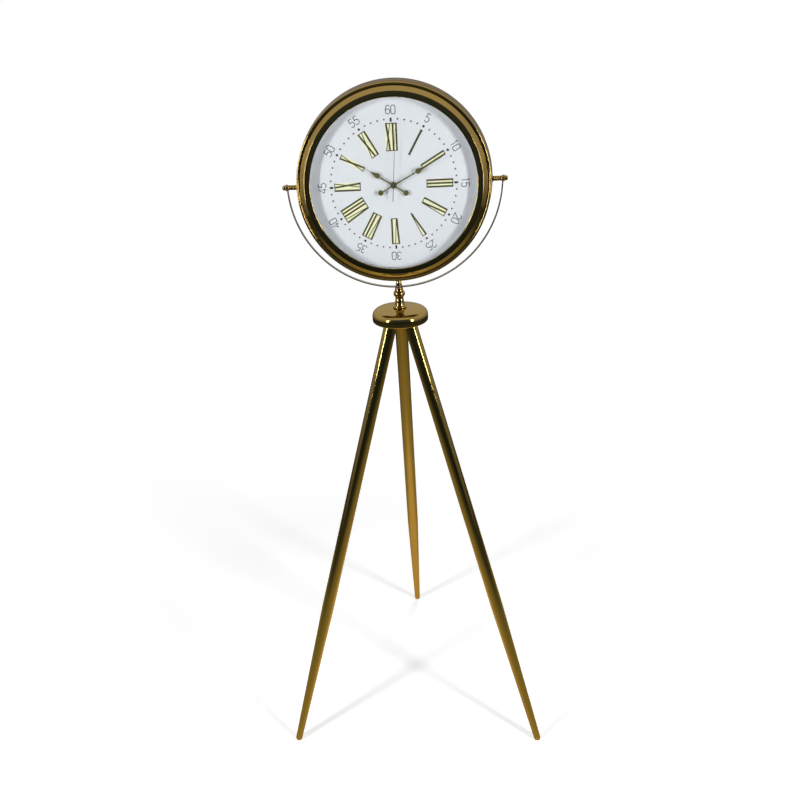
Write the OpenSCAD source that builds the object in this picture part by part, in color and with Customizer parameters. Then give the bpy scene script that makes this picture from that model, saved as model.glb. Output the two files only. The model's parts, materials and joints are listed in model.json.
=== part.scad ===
// Floor clock on a tripod: a drum-shaped clock head that tilts in a half-ring
// yoke, which turns on a finial column above a hub with three splayed legs.
// Millimetres, +Z up, dial facing -Y, origin on the floor in the middle of the footprint.

/* [Stand] */
// Radius of the circle through the middles of the three feet
foot_circle_r = 362; // [320:1:400]
// Height of the hub's underside above the floor
hub_z = 1109.5; // [1040:0.5:1160]
// Radius at which the leg centre lines pass the hub's underside
leg_top_r = 24; // [23:0.5:27]
// Outside diameter of a leg tube
leg_d = 30; // [27:0.5:32]
// Wall of a leg tube
leg_wall = 1.5; // [1:0.1:2.5]
// Diameter of the rounded tip of a leg
foot_d = 17; // [14:0.5:20]
// Length of the tapered lower end of a leg
leg_taper = 405; // [300:5:500]
// Depth of the flat that a tip stands on
foot_flat = 1.2; // [0.6:0.1:2]
// Length of the plug that closes the foot of a leg
tip_spigot = 24; // [12:1:40]
// Length of the threaded insert in the head of a leg
insert_len = 32; // [24:1:45]
// Diameter of the stud that a leg screws on to
stud_d = 10; // [8:0.5:12]

/* [Hub] */
// Diameter of the hub
hub_d = 127.5; // [118:0.5:140]
// Height of the hub
hub_h = 31; // [30:0.5:40]
// Radius of the hub's rounded upper edge
hub_shoulder_r = 14; // [10:0.5:18]
// Radius of the hub's rounded lower edge
hub_lip_r = 4; // [3:0.5:10]
// Wall of the spun hub cover
hub_wall = 2; // [1.2:0.1:3]
// Height of the leg plate's upper face inside the hub
plate_h = 19; // [17:0.5:22]
// Depth to which a leg enters the leg plate
socket_depth = 8; // [6:0.5:9]

/* [Column] */
// Height of the turned column above the hub
column_h = 46.5; // [40:0.5:60]
// Diameter of the column's base flange
column_base_d = 31; // [26:0.5:36]
// Diameter of the column's flattened ball
ball_d = 26.7; // [22:0.1:30]
// Diameter of the column's neck
neck_d = 18.8; // [15:0.2:20]
// Diameter of the collar under the yoke
collar_d = 19.2; // [17:0.2:24]
// Diameter of the threaded rod through the column
rod_d = 8; // [6:0.5:10]
// Height of the cone nut above the yoke
cone_h = 12.5; // [10:0.5:15]
// Diameter of the fibre washers at the swivel
swivel_washer_d = 15; // [14:0.5:18]
// Diameter of the cone nut at its foot
cone_d = 14.4; // [13:0.2:17]
// Thickness of a fibre washer at the swivel
swivel_washer_t = 0.8; // [0.5:0.1:1.5]

/* [Yoke] */
// Distance from the drum's widest edge to the yoke's centre line
yoke_gap = 19.5; // [18:0.5:30]
// Width of the yoke's flat strip, front to back
yoke_w = 10; // [8:0.5:16]
// Thickness of the yoke's strip
yoke_t = 2.5; // [2:0.1:4]
// Diameter of the round eye at each end of the yoke
eye_d = 14; // [12:0.5:18]
// Diameter of the pivot rods
pivot_d = 5; // [4:0.5:6]
// Diameter of the beads on the pivot spacers
bead_d = 11.4; // [8:0.2:13]
// Number of beads on a pivot spacer
bead_count = 4; // [3:1:5]
// Diameter of the clamp knob's flange
knob_d = 15; // [12:0.5:18]
// Diameter of the clamp knob's rounded end
knob_tip_d = 11; // [9:0.5:13]
// Length of a clamp knob
knob_len = 9.8; // [8:0.2:14]

/* [Clock head] */
// Backward lean of the head as it stands, in degrees
head_tilt = 2.4; // [0:0.1:5]
// Radius of the drum at its back, where it is widest
drum_back_r = 210.5; // [195:0.5:225]
// How much narrower the drum is at its front edge
drum_flare = 9; // [6:0.5:12]
// Distance from the pivots to the drum's front edge
drum_front = 45; // [42:0.5:50]
// Distance from the pivots to the drum's back
drum_back = 21; // [18:0.5:26]
// Sheet thickness of the drum and the bezel
drum_wall = 1.2; // [0.8:0.1:2]
// Radius of the drum's rounded back edge
drum_corner_r = 5; // [3:0.5:8]
// Width of the bezel, from its opening to the drum's front edge
bezel_w = 28; // [26:0.5:34]
// Width of the bezel's flat polished face
bezel_face_w = 12.5; // [10:0.5:14]
// Height of the bezel's face above the drum's front edge
bezel_rise = 11; // [9:0.5:14]
// Radius of the bead on the bezel's outer edge
bezel_bead_r = 3; // [2:0.1:4]
// Overlap of the glass, dial and dial board behind the bezel's opening
glass_lap = 9.5; // [8:0.5:11]
// Thickness of the glass
glass_t = 2; // [1.5:0.5:4]
// Depth of the space between the dial and the glass
dial_depth = 14; // [13:0.5:16]
// Thickness of the dial sheet
dial_t = 1; // [0.5:0.1:2]
// Thickness of the board that carries the dial and the movement
board_t = 4; // [3:0.5:6]
// Thickness of the back panel
panel_t = 3; // [2:0.5:5]
// Radius of the access opening in the back panel
access_r = 66; // [55:1:80]
// Number of screws in the back panel
panel_screws = 6; // [4:1:8]

/* [Movement] */
// Width and height of the quartz movement
move_w = 56; // [56:0.5:60]
// Thickness of the quartz movement
move_t = 16; // [16:0.5:20]
// Outside diameter of the threaded bushing
bush_d = 8; // [7.5:0.1:9]
// Outside diameter of the hour hand's tube
hour_tube_d = 5; // [4.6:0.1:5.6]
// Outside diameter of the minute hand's arbor
minute_arbor_d = 3.5; // [3:0.1:4]
// Diameter of the second hand's arbor
second_arbor_d = 1; // [0.8:0.1:1.4]
// Diameter of the battery
battery_d = 14.2; // [13.5:0.1:14.6]
// Length of the battery with its button
battery_len = 50; // [49:0.5:50.5]

/* [Hands] */
// Length of the hour hand from the centre
hour_len = 88; // [70:1:95]
// Length of the minute hand from the centre
minute_len = 115; // [100:1:125]
// Length of the second hand from the centre
second_len = 113; // [80:1:120]
// Length of the second hand's tail
second_tail = 32.5; // [20:0.5:40]
// Distance from the centre to the counterweight of a hand
counter_r = 30.5; // [22:0.5:34]
// Distance from the centre to the hour hand's bulb
hour_bulb_r = 38.8; // [34:0.2:44]
// Distance from the centre to the minute hand's bulb
minute_bulb_r = 58.5; // [50:0.5:66]
// Thickness of the hour and minute hands
hand_t = 0.8; // [0.5:0.1:1]
// Minutes past the hour that the hands show
minutes = 10.4; // [0:0.1:59.9]
// Hour that the hands show
hours = 10; // [1:1:12]
// Angle by which the hour hand was put on off its true place, in degrees
hour_slip = -2.5; // [-4:0.1:4]
// Seconds that the hands show
seconds = 0.7; // [0:0.1:59.9]

/* [Hidden] */
$fn = 96;

// The head's radii follow from the drum's, and the yoke clears the drum
drum_front_r = drum_back_r - drum_flare;
opening_r = drum_front_r - bezel_w;
glass_r = opening_r + glass_lap;
yoke_r = drum_back_r + yoke_gap;

// Clearances: between pieces fixed to each other, and between pieces that turn
fit_gap = 0.05;
run_gap = 0.06;
face_gap = 0.1;
eps = 0.01;

// The tripod's axis lies behind the dial so that the footprint is centred on the origin
axis_y = -foot_circle_r / 4;
foot_ball_z = foot_d / 2 - foot_flat;
leg_lean = atan((foot_circle_r - leg_top_r) / (hub_z - foot_ball_z));
leg_len = (hub_z - foot_ball_z) / cos(leg_lean);
leg_head = leg_len + socket_depth;
tip_seam = 2;
hub_top = hub_z + hub_h;
column_top = hub_top + column_h;
pad_t = yoke_t + 1;
pad_bottom = column_top + swivel_washer_t + face_gap;
pad_top = pad_bottom + pad_t;
pin_z = pad_bottom + pad_t / 2 + yoke_r;
cone_base = pad_top + face_gap + swivel_washer_t;

// Places along the pivot axis, from the middle of the head outwards
boss_out = drum_r(-bead_d / 2) + face_gap;
boss_in = boss_out - 4.2;
boss_r = 8;
eye_in = yoke_r - yoke_t / 2;
eye_out = yoke_r + yoke_t / 2;
knob_in = eye_out + face_gap;
nut_t = 4;
washer_t = 1;
knob_end_wall = 2;

// Places along the head's own axis, towards the viewer, from the pivots
glass_front = drum_front + bezel_rise - 2;
glass_back = glass_front - glass_t;
dial_z = glass_back - dial_depth;
board_z = dial_z - dial_t;
ring_z = board_z - board_t;
cushion_t = 1;
move_z = ring_z - cushion_t;
panel_z = -drum_back + drum_wall;

// Heights above the dial of the pieces that turn on its axis
bush_top = 3.6;
hour_plane = 4.6;
minute_plane = 6.8;
second_plane = 10;

tube_bore_d = hour_tube_d + 2 * run_gap;
arbor_bore_d = minute_arbor_d + 2 * run_gap;
pin_bore_d = second_arbor_d + 2 * run_gap;

// Layout inside the movement
case_wall = 1.5;
bay_y = -move_w / 2 + battery_d / 2 + 1.2;
bay_top = bay_y + battery_d / 2 + 0.6;
knob_x = 0;
knob_y = 16;
setting_pin_d = 3;

function drum_r(z) = drum_front_r + (drum_back_r - drum_front_r)
    * (drum_front - z) / (drum_front + drum_back - drum_corner_r);
function drum_in(z) = drum_r(z) - drum_wall;
function arc(cx, cy, r, from, to, n) =
    [for (i = [0:n]) [cx + r * cos(from + (to - from) * i / n), cy + r * sin(from + (to - from) * i / n)]];

module brass() { color("#8a6d2b") children(); }
module polished_dark() { color("#4a4324") children(); }
module steel() { color("#8f9296") children(); }

// Puts a piece on the centre line of the leg at turn a, with +Z from the foot up the leg
module on_leg(a) {
    translate([0, axis_y, 0]) rotate([0, 0, a])
        translate([0, foot_circle_r, foot_ball_z]) rotate([leg_lean, 0, 0]) children();
}

module on_each_leg() { for (a = [0, 120, 240]) on_leg(a) children(); }

module on_axis(z) { translate([0, axis_y, z]) children(); }

// Puts a piece in the head: +Z towards the viewer, +Y up the dial
module in_head() {
    translate([0, axis_y, pin_z]) rotate([90 - head_tilt, 0, 0]) children();
}

// Puts a piece on the dial's axis, z above the dial's face, turned clockwise by a
module on_dial(z, a = 0) { in_head() translate([0, 0, dial_z + z]) rotate([0, 0, -a]) children(); }

// Puts a piece on the pivot axis, with +Z outwards, on the side s
module on_pivot(s) { on_axis(pin_z) rotate([0, s * 90, 0]) children(); }

module on_both_pivots() { for (s = [-1, 1]) on_pivot(s) children(); }

module tube(d, bore, h) {
    difference() {
        cylinder(d = d, h = h);
        translate([0, 0, -1]) cylinder(d = bore, h = h + 2);
    }
}

module leg_bar(inset) {
    lo = tip_seam - (inset > 0 ? 1 : 0);
    hi = leg_head + (inset > 0 ? 1 : 0);
    translate([0, 0, lo])
        cylinder(r1 = foot_d / 2 - inset, r2 = leg_d / 2 - inset, h = leg_taper - lo);
    translate([0, 0, leg_taper - eps]) cylinder(r = leg_d / 2 - inset, h = hi - leg_taper + eps);
}

module leg(a) {
    brass() on_leg(a) difference() {
        leg_bar(0);
        leg_bar(leg_wall);
    }
}

module leg_left() { leg(120); }
module leg_right() { leg(240); }
module leg_back() { leg(0); }

module leg_inserts() {
    steel() on_each_leg() translate([0, 0, leg_head - insert_len])
        tube(leg_d - 2 * leg_wall - 2 * fit_gap, stud_d + 2 * fit_gap, insert_len);
}

module leg_studs() {
    steel() on_each_leg() translate([0, 0, leg_head - insert_len + 6])
        cylinder(d = stud_d, h = insert_len - 6 + 8.5);
}

module leg_tips() {
    brass() difference() {
        on_each_leg() rotate_extrude() {
            intersection() {
                circle(d = foot_d);
                translate([0, -foot_d]) square(foot_d);
            }
            square([foot_d / 2, tip_seam - fit_gap]);
            square([foot_d / 2 - leg_wall - fit_gap, tip_seam + tip_spigot]);
        }
        translate([-2 * foot_circle_r, -2 * foot_circle_r, -foot_d])
            cube([4 * foot_circle_r, 4 * foot_circle_r, foot_d]);
    }
}

// Outline of the hub, drawn in by an inset for its inside and for the plate in it
module hub_section(inset) {
    dome = 3;
    shoulder_x = hub_d / 2 - hub_shoulder_r;
    shoulder_z = hub_h - hub_shoulder_r - dome;
    lip_x = hub_d / 2 - hub_lip_r;
    polygon([[0, inset], [lip_x, inset], [lip_x, hub_lip_r], [hub_d / 2 - inset, hub_lip_r],
        [hub_d / 2 - inset, shoulder_z], [shoulder_x, hub_h - dome - inset],
        [hub_d * 0.26, hub_h - dome * 0.28 - inset], [hub_d * 0.13, hub_h - inset], [0, hub_h - inset]]);
    translate([shoulder_x, shoulder_z]) circle(r = hub_shoulder_r - inset);
    translate([lip_x, hub_lip_r]) circle(r = hub_lip_r - inset);
}

module hub_cover() {
    brass() on_axis(hub_z) rotate_extrude() difference() {
        hub_section(0);
        hub_section(hub_wall);
        translate([-1, -1]) square([hub_d / 2 - hub_lip_r + 1, hub_wall + 2]);
        translate([-1, 0]) square([rod_d / 2 + fit_gap + 1, hub_h + 1]);
    }
}

module leg_plate() {
    inset = hub_wall + fit_gap;
    color("#56585a") difference() {
        on_axis(hub_z) rotate_extrude() difference() {
            union() {
                intersection() {
                    hub_section(inset);
                    square([hub_d, plate_h]);
                }
                square([12, hub_h - inset]);
            }
            square([rod_d / 2 + fit_gap, hub_h]);
            translate([-1, -1]) square([12 + 1, inset + 1]);
        }
        on_each_leg() {
            translate([0, 0, leg_head - 2 * leg_d])
                cylinder(d = leg_d + 2 * fit_gap, h = 2 * leg_d + fit_gap);
            translate([0, 0, leg_head]) cylinder(d = stud_d + 2 * fit_gap, h = 8.7);
        }
    }
}

module column_section() {
    bun_r = 2.75;
    vase_foot = 6.2;
    vase_top = column_h * 0.39;
    vase_flare = 1.6;
    ball_z = column_h * 0.71;
    ball_r = ball_d / 3;
    ball_x = ball_d / 2 - ball_r;
    ball_turn = acos((neck_d / 2 - ball_x) / ball_r);
    collar_r = 1.2;
    polygon(concat([[0, 0], [column_base_d / 2 - bun_r, 0]],
        arc(column_base_d / 2 - bun_r, bun_r, bun_r, -60, 90, 10),
        [for (i = [0:8]) [neck_d / 2 + 0.5 + vase_flare * pow(1 - i / 8, 1.5),
            vase_foot + (vase_top - vase_foot) * i / 8]],
        [[neck_d / 2, vase_top + 1]],
        arc(ball_x, ball_z, ball_r, -ball_turn, ball_turn, 16),
        [[neck_d / 2 - 0.4, column_h - 3.6], [collar_d / 2 - collar_r, column_h - 3.5]],
        arc(collar_d / 2 - collar_r, column_h - 2.3, collar_r, -90, 90, 8),
        [[collar_d / 2 - collar_r, column_h - 1], [collar_d / 2 - 1.4, column_h], [0, column_h]]));
}

module column() {
    brass() on_axis(hub_top) rotate_extrude() difference() {
        column_section();
        translate([-column_base_d, -1]) square([column_base_d + rod_d / 2 + fit_gap, column_h + 2]);
    }
}

module column_rod() {
    foot = hub_z + hub_wall + 1;
    steel() on_axis(foot) cylinder(d = rod_d, h = cone_base + cone_h - 4 - foot);
}

module swivel_washers() {
    color("#5a2f20") {
        on_axis(column_top) tube(swivel_washer_d, rod_d + 2 * fit_gap, swivel_washer_t);
        on_axis(cone_base - swivel_washer_t) tube(swivel_washer_d, rod_d + 2 * fit_gap, swivel_washer_t);
    }
}

module cone_nut() {
    foot_r = cone_d / 2;
    top_r = 5.6;
    brass() on_axis(cone_base) rotate_extrude() difference() {
        polygon(concat([[0, 0], [foot_r - 0.6, 0], [foot_r, 0.8], [foot_r - 0.4, 2.4]],
            [[top_r + 0.3, cone_h - 3]], arc(top_r - 2, cone_h - 2, 2, 10, 90, 5), [[0, cone_h]]));
        translate([-1, -1]) square([1 + rod_d / 2 + fit_gap, cone_h - 4 + 1.5]);
    }
}

module yoke() {
    color("#9a8a5c") difference() {
        on_axis(pin_z) {
            rotate([90, 0, 0]) linear_extrude(height = yoke_w, center = true) intersection() {
                difference() {
                    circle(r = eye_out, $fn = 180);
                    circle(r = eye_in, $fn = 180);
                }
                translate([-2 * yoke_r, -2 * yoke_r]) square([4 * yoke_r, 2 * yoke_r]);
            }
            for (s = [-1, 1]) translate([s * yoke_r, 0, 0]) rotate([0, 90, 0])
                cylinder(d = eye_d, h = yoke_t, center = true);
            translate([0, 0, pad_bottom - pin_z]) cylinder(d = swivel_washer_d - 1, h = pad_t);
        }
        on_axis(pad_bottom - 1) cylinder(d = rod_d + 2 * run_gap, h = pad_t + 2);
        on_both_pivots() translate([0, 0, eye_in - 2]) cylinder(d = pivot_d + 2 * run_gap, h = yoke_t + 4);
    }
}

// A turned spacer of round beads between the drum's side and the yoke's eye
module beaded_spacers() {
    run = eye_in - face_gap - boss_out - fit_gap;
    pitch = run / bead_count;
    brass() on_both_pivots() translate([0, 0, boss_out + fit_gap]) rotate_extrude() {
        translate([pivot_d / 2 + fit_gap, 0]) square([bead_d * 0.39 - pivot_d / 2 - fit_gap, run]);
        for (i = [0:bead_count - 1]) translate([0, (i + 0.5) * pitch]) intersection() {
            translate([bead_d / 2 - pitch / 2, 0]) circle(r = pitch / 2);
            translate([pivot_d / 2 + fit_gap, -pitch]) square([bead_d, 2 * pitch]);
        }
    }
}

module pivot_rods() {
    start = boss_in - washer_t - nut_t - 2;
    steel() on_both_pivots() translate([0, 0, start])
        cylinder(d = pivot_d, h = knob_in + knob_len - knob_end_wall - 0.5 - start);
}

module pivot_washers() {
    steel() on_both_pivots() translate([0, 0, boss_in - washer_t])
        tube(2 * boss_r - 2, pivot_d + 2 * fit_gap, washer_t);
}

module pivot_nuts() {
    steel() on_both_pivots() translate([0, 0, boss_in - washer_t - nut_t]) difference() {
        cylinder(d = pivot_d * 1.85, h = nut_t, $fn = 6);
        translate([0, 0, -1]) cylinder(d = pivot_d + 2 * fit_gap, h = nut_t + 2);
    }
}

module clamp_knob(s) {
    flange_t = 2.6;
    end_r = 4;
    brass() on_pivot(s) translate([0, 0, knob_in]) rotate_extrude() difference() {
        polygon(concat([[0, 0], [knob_d / 2 - 0.5, 0]],
            arc(knob_d / 2 - 1.2, 1.3, 1.3, -60, 90, 8),
            [[knob_tip_d / 2 - 0.4, flange_t], [knob_tip_d / 2, flange_t + 1]],
            arc(knob_tip_d / 2 - end_r, knob_len - end_r, end_r, 0, 90, 10), [[0, knob_len]]));
        translate([-1, -1]) square([1 + pivot_d / 2 + run_gap, 1 + knob_len - knob_end_wall]);
    }
}

module clamp_knob_left() { clamp_knob(-1); }
module clamp_knob_right() { clamp_knob(1); }

// Filled outline of the drum, drawn in by an inset for its inside
module drum_section(inset) {
    corner_x = drum_back_r - drum_corner_r;
    corner_z = -drum_back + drum_corner_r;
    over = inset > 0 ? 1 : 0;
    polygon([[0, -drum_back + inset], [corner_x, -drum_back + inset], [corner_x, corner_z],
        [drum_back_r - inset, corner_z], [drum_r(drum_front + over) - inset, drum_front + over],
        [0, drum_front + over]]);
    translate([corner_x, corner_z]) circle(r = drum_corner_r - inset, $fn = 48);
}

module case_drum() {
    flange_in = drum_back_r - 22;
    brass() difference() {
        union() {
            in_head() rotate_extrude($fn = 180) difference() {
                drum_section(0);
                drum_section(drum_wall);
                translate([-1, -drum_back - 1]) square([flange_in + 1, drum_wall + 2]);
            }
            on_both_pivots() translate([0, 0, boss_in]) cylinder(r = boss_r, h = boss_out - boss_in);
        }
        on_both_pivots() translate([0, 0, boss_in - 2])
            cylinder(d = pivot_d + 2 * fit_gap, h = boss_out - boss_in + 4);
        back_screw_places() translate([0, 0, -1]) cylinder(d = 3.4, h = drum_wall + 2);
    }
}

module back_screw_places() {
    in_head() for (i = [0:panel_screws - 1]) rotate([0, 0, (i + 0.5) * 360 / panel_screws])
        translate([drum_back_r - 16, 0, -drum_back]) children();
}

module bezel() {
    front = drum_front + bezel_rise;
    face_out = opening_r + bezel_face_w;
    bead_x = drum_front_r - 1.8;
    bead_z = drum_front + bezel_bead_r + 0.4;
    skirt = drum_in(drum_front) - fit_gap;
    polished_dark() in_head() rotate_extrude($fn = 180)
        polygon(concat([[opening_r, glass_front], [opening_r, front - 1], [opening_r + 1, front - 0.2],
            [opening_r + 4, front], [face_out - 2, front], [face_out, front - 1],
            [bead_x - bezel_bead_r - 0.8, bead_z + 2.4]],
            arc(bead_x, bead_z, bezel_bead_r, 160, -40, 14),
            [[drum_front_r, drum_front + 0.6], [drum_front_r, drum_front + fit_gap],
            [skirt, drum_front + fit_gap], [skirt, drum_front - 8], [skirt - drum_wall, drum_front - 8],
            [skirt - drum_wall, drum_front + 1.4], [bead_x - bezel_bead_r - 1.4, bead_z + 0.6],
            [glass_r + 1, glass_front - 0.6], [glass_r + 0.6, glass_front]]));
}

module support_ring() {
    ring_t = 1;
    depth = 12;
    outer = drum_in(ring_z) - fit_gap;
    outer_back = drum_in(ring_z - depth) - fit_gap;
    steel() in_head() rotate_extrude($fn = 180) polygon([[glass_r - 9, ring_z - ring_t],
        [outer - ring_t, ring_z - ring_t], [outer_back - ring_t, ring_z - depth],
        [outer_back, ring_z - depth], [outer, ring_z], [glass_r - 9, ring_z]]);
}

module dial_spacer() {
    color("#c9ccd0") in_head() translate([0, 0, dial_z])
        rotate_extrude($fn = 180) translate([opening_r + 1, 0]) square([glass_r - opening_r - 1.5, dial_depth]);
}

module glass() {
    color("#dfeef2", 0.3) in_head() translate([0, 0, glass_back]) cylinder(r = glass_r, h = glass_t, $fn = 180);
}

module dial() {
    color("#eceef4") in_head() translate([0, 0, board_z]) difference() {
        cylinder(r = glass_r, h = dial_t, $fn = 180);
        translate([0, 0, -1]) cylinder(d = bush_d + 2 * fit_gap, h = dial_t + 2);
    }
}

module dial_board() {
    color("#8b6f4d") in_head() translate([0, 0, ring_z]) difference() {
        cylinder(r = glass_r, h = board_t, $fn = 180);
        translate([0, 0, -1]) cylinder(d = bush_d + 2 * fit_gap, h = board_t + 2);
    }
}

module back_panel() {
    panel_r = drum_back_r - 12;
    color("#232323") difference() {
        in_head() translate([0, 0, panel_z]) difference() {
            cylinder(r = panel_r, h = panel_t, $fn = 180);
            translate([0, 0, -1]) cylinder(r = access_r, h = panel_t + 2);
        }
        back_screw_places() translate([0, 0, drum_wall - 1]) cylinder(d = 2.9, h = panel_t);
    }
}

module back_screws() {
    steel() back_screw_places() {
        translate([0, 0, -2]) cylinder(d1 = 5.4, d2 = 6.4, h = 2);
        cylinder(d = 2.8, h = drum_wall + panel_t - 1.2);
    }
}

module movement_case() {
    half = move_w / 2;
    color("#2b2c2e") in_head() difference() {
        union() {
            translate([-half, -half, move_z - move_t + 1]) cube([move_w, move_w, move_t - 1]);
            translate([0, 0, move_z - 1]) cylinder(d = bush_d, h = dial_z + bush_top - move_z + 1);
        }
        translate([-half + case_wall, bay_top + case_wall, move_z - move_t])
            cube([move_w - 2 * case_wall, half - bay_top - 2 * case_wall, move_t - case_wall]);
        translate([-half + case_wall, -half + 1, move_z - move_t])
            cube([move_w - 2 * case_wall, bay_top + half - 1, move_t - 1]);
        translate([0, 0, move_z - move_t]) cylinder(d = tube_bore_d, h = move_t + 40);
    }
}

module movement_cover() {
    half = move_w / 2;
    color("#3a3b3e") in_head() translate([0, 0, move_z - move_t]) difference() {
        union() {
            translate([-half, bay_top, 0]) cube([move_w, half - bay_top, 1 - fit_gap]);
            translate([-half + case_wall + fit_gap, bay_top + case_wall + fit_gap, 0])
                cube([move_w - 2 * case_wall - 2 * fit_gap, half - bay_top - 2 * case_wall - 2 * fit_gap, 2]);
        }
        translate([knob_x, knob_y, -1]) cylinder(d = setting_pin_d + 2 * run_gap, h = 4);
    }
}

module battery() {
    color("#3c4a55") in_head() translate([-battery_len / 2, bay_y, move_z - move_t + 0.6 + battery_d / 2])
        rotate([0, 90, 0]) {
            cylinder(d = battery_d, h = battery_len - 1.2);
            cylinder(d = 5.4, h = battery_len);
        }
}

module battery_contacts() {
    gap = move_w / 2 - case_wall - battery_len / 2;
    steel() in_head() for (s = [-1, 1]) translate([s * (battery_len / 2 + gap / 2), bay_y, move_z - move_t / 2])
        cube([gap - 2 * fit_gap, 9, move_t - 5], center = true);
}

module cushion_washer() {
    color("#1c1c1c") in_head() translate([0, 0, move_z]) tube(24, bush_d + 2 * fit_gap, cushion_t);
}

module bushing_washer() {
    brass() on_dial(0) tube(bush_d + 5, bush_d + 2 * fit_gap, 0.5);
}

module bushing_nut() {
    brass() on_dial(0.5) difference() {
        cylinder(d = bush_d + 4.2, h = 2.5, $fn = 6);
        translate([0, 0, -1]) cylinder(d = bush_d + 2 * fit_gap, h = 5);
    }
}

minute_turn = minutes * 6 + seconds / 10;
hour_turn = (hours % 12) * 30 + minutes / 2 + hour_slip;
second_turn = seconds * 6;
shaft_foot = move_z - move_t + 4 - dial_z;

module hour_tube() {
    color("#b9b48e") on_dial(shaft_foot + 5, hour_turn) difference() {
        union() {
            cylinder(d = 14, h = 1.2);
            cylinder(d = hour_tube_d, h = hour_plane + hand_t - shaft_foot - 5);
        }
        translate([0, 0, -1]) cylinder(d = arbor_bore_d, h = 60);
    }
}

module minute_arbor() {
    color("#b9b48e") on_dial(shaft_foot + 2.5, minute_turn) difference() {
        union() {
            cylinder(d = 18, h = 1.2);
            cylinder(d = minute_arbor_d, h = minute_plane + hand_t + 1.4 - shaft_foot - 2.5);
        }
        translate([0, 0, -1]) cylinder(d = pin_bore_d, h = 60);
    }
}

module second_arbor() {
    steel() on_dial(shaft_foot, second_turn) {
        cylinder(d = 16, h = 1);
        cylinder(d = second_arbor_d, h = second_plane + 0.6 - shaft_foot);
    }
}

// Outline of a hand pointing along +Y: a drop-shaped bulb, a needle and a round counterweight
module hand_outline(reach, bulb, hub_r) {
    bulb_r = 5.4;
    drop_len = 15;
    bead_r = 2.1;
    weight_r = 5.6;
    circle(r = hub_r);
    polygon([[-1.7, 0], [1.7, 0], [0.9, bulb], [-0.9, bulb]]);
    translate([0, bulb - 11]) circle(r = bead_r);
    translate([0, bulb]) circle(r = bulb_r);
    polygon([[-bulb_r * cos(25), bulb + bulb_r * sin(25)], [-0.65, bulb + drop_len],
        [-0.25, reach], [0.25, reach], [0.65, bulb + drop_len],
        [bulb_r * cos(25), bulb + bulb_r * sin(25)]]);
    polygon([[-1.5, 0], [1.5, 0], [0.8, -counter_r], [-0.8, -counter_r]]);
    translate([0, 9 - counter_r]) circle(r = bead_r);
    translate([0, -counter_r]) circle(r = weight_r);
}

module hour_hand() {
    bore = hour_tube_d + 2 * fit_gap;
    color("#5a5428") on_dial(hour_plane, hour_turn) difference() {
        union() {
            linear_extrude(height = hand_t) hand_outline(hour_len, hour_bulb_r, 6.4);
            translate([0, 0, -0.7]) cylinder(d = hour_tube_d + 2.4, h = 0.7 + eps);
        }
        translate([0, 0, -2]) cylinder(d = bore, h = 4);
    }
}

module minute_hand() {
    bore = minute_arbor_d + 2 * fit_gap;
    color("#5a5428") on_dial(minute_plane, minute_turn) difference() {
        union() {
            linear_extrude(height = hand_t) hand_outline(minute_len, minute_bulb_r, 5.6);
            translate([0, 0, -0.8]) cylinder(d = minute_arbor_d + 2.4, h = 0.8 + eps);
        }
        translate([0, 0, -2]) cylinder(d = bore, h = 4);
    }
}

module hand_nut() {
    polished_dark() on_dial(minute_plane + hand_t, minute_turn)
        tube(minute_arbor_d + 3, minute_arbor_d + 2 * fit_gap, 1.4);
}

module second_hand() {
    color("#8d8f92") on_dial(second_plane, second_turn) difference() {
        union() {
            linear_extrude(height = 0.4)
                polygon([[-0.7, -second_tail], [0.7, -second_tail], [0.35, second_len], [-0.35, second_len]]);
            translate([0, 0, -0.5]) cylinder(d = 3, h = 1.5);
        }
        translate([0, 0, -1]) cylinder(d = second_arbor_d + 2 * fit_gap, h = 1.65);
    }
}

module setting_knob() {
    color("#151515") in_head() translate([knob_x, knob_y, move_z - move_t]) {
        translate([0, 0, -3]) cylinder(d = 12, h = 3 - face_gap);
        translate([0, 0, -face_gap - eps]) cylinder(d = setting_pin_d, h = 6);
    }
}

leg_left();
leg_right();
leg_back();
leg_inserts();
leg_studs();
leg_tips();
leg_plate();
hub_cover();
column();
column_rod();
swivel_washers();
cone_nut();
yoke();
beaded_spacers();
pivot_rods();
pivot_washers();
pivot_nuts();
clamp_knob_left();
clamp_knob_right();
case_drum();
bezel();
support_ring();
dial_spacer();
glass();
dial();
dial_board();
back_panel();
back_screws();
movement_case();
movement_cover();
battery();
battery_contacts();
cushion_washer();
bushing_washer();
bushing_nut();
hour_tube();
hour_hand();
minute_arbor();
minute_hand();
hand_nut();
second_arbor();
second_hand();
setting_knob();
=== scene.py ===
import functools
import json
import math

import bmesh
import bpy
from bpy.props import FloatProperty, FloatVectorProperty, IntProperty, PointerProperty
from mathutils import Matrix, Vector


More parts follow.
